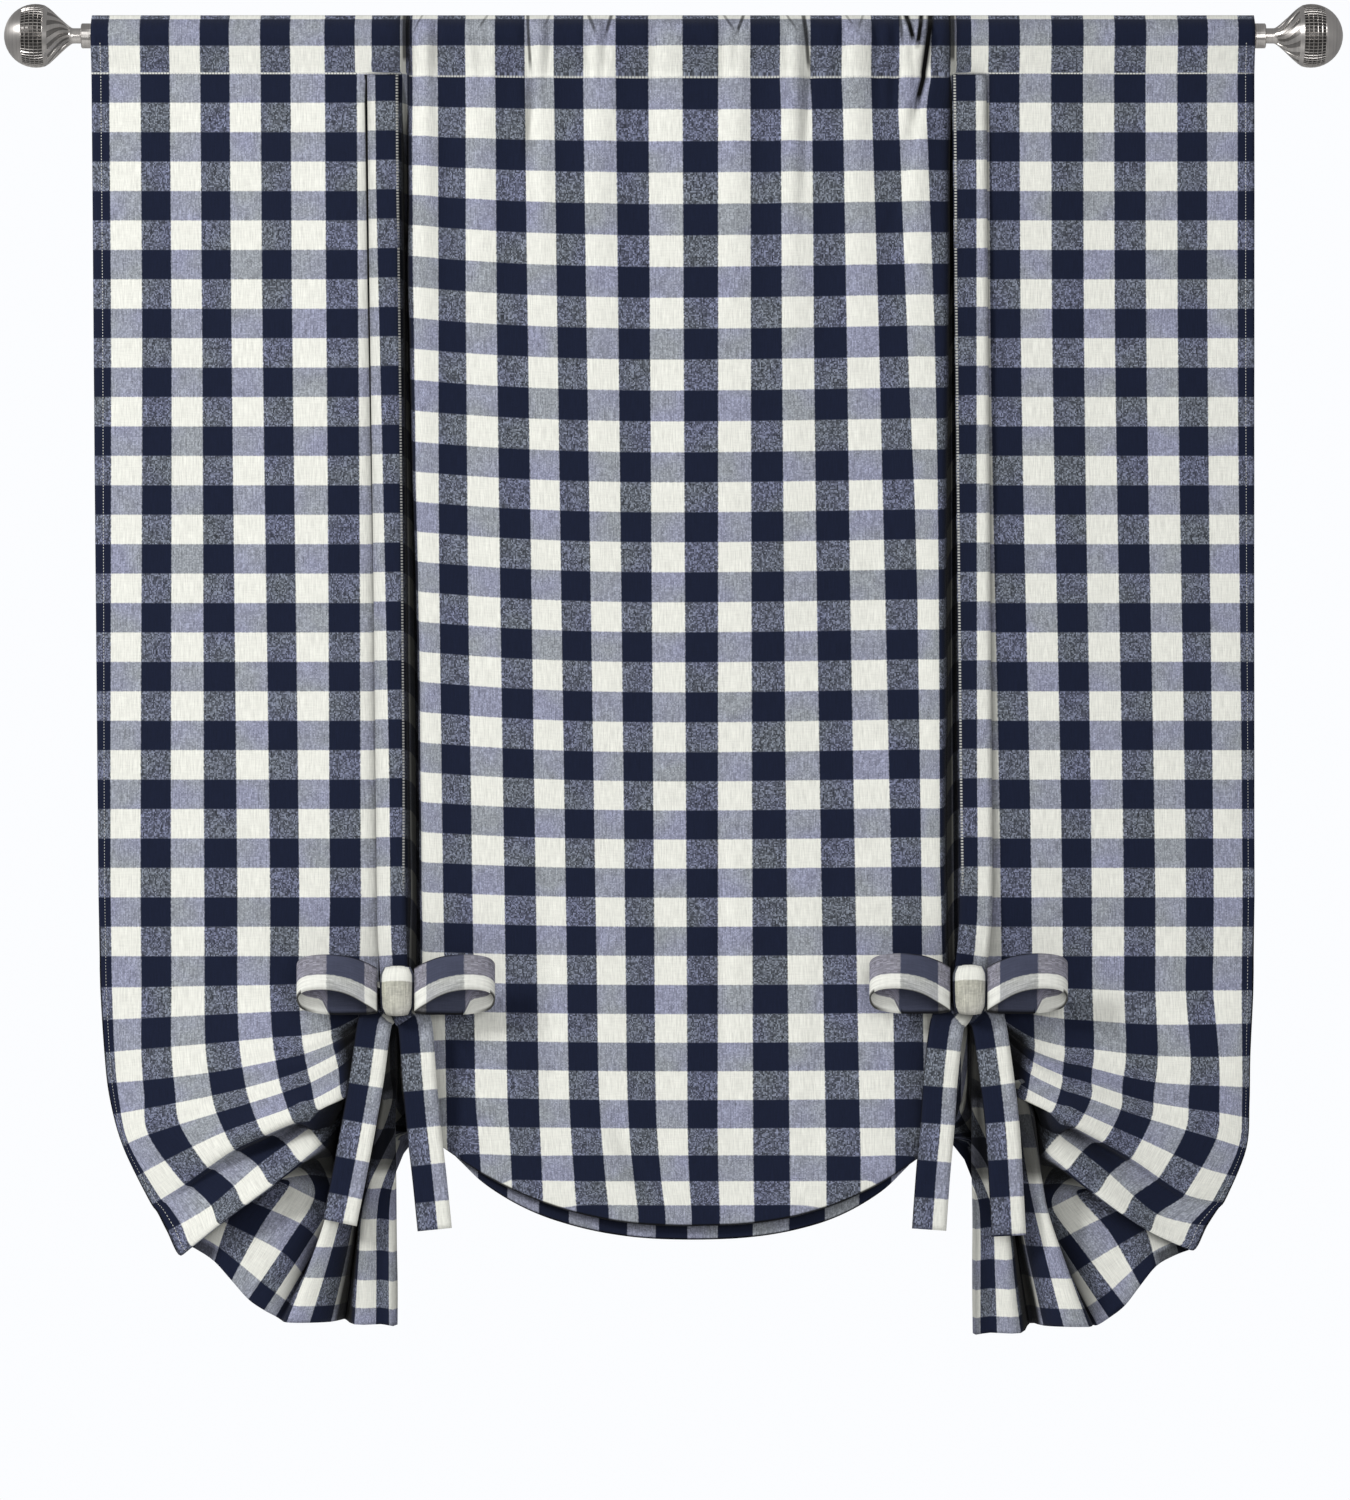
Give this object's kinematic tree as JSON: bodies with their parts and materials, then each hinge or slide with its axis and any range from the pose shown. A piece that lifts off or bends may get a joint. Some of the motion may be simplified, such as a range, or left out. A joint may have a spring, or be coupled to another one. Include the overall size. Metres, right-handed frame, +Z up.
{
  "type": "tie-up shade on its curtain rod",
  "caption": "Gingham tie-up shade with a rod pocket on a plain metal rod with ball finials; bows on long ties gather the sides into fans and the middle into a shallow arc.",
  "frame": {"origin": "on the rod's axis at mid-length", "axes": "+X along the rod to the viewer's right, -Y out of the shade's front, +Z up"},
  "size_m": [1.2322, 0.0874, 1.2216],
  "materials": {
    "gingham": "matt",
    "tie_gingham": "matt",
    "brushed_nickel": "brushed",
    "rod_steel": "satin"
  },
  "bodies": {
    "root": {"shade_panel": "gingham", "tie_strap_left": "tie_gingham", "tie_strap_right": "tie_gingham", "bow_loop_left_outer": "tie_gingham", "bow_loop_left_inner": "tie_gingham", "bow_loop_right_inner": "tie_gingham", "bow_loop_right_outer": "tie_gingham", "knot_left": "tie_gingham", "knot_right": "tie_gingham", "tie_end_left_outer": "tie_gingham", "tie_end_left_inner": "tie_gingham", "tie_end_right_inner": "tie_gingham", "tie_end_right_outer": "tie_gingham", "rod": "rod_steel", "collar_left": "brushed_nickel", "collar_right": "brushed_nickel", "finial_left": "brushed_nickel", "finial_right": "brushed_nickel"}
  },
  "joints": []
}
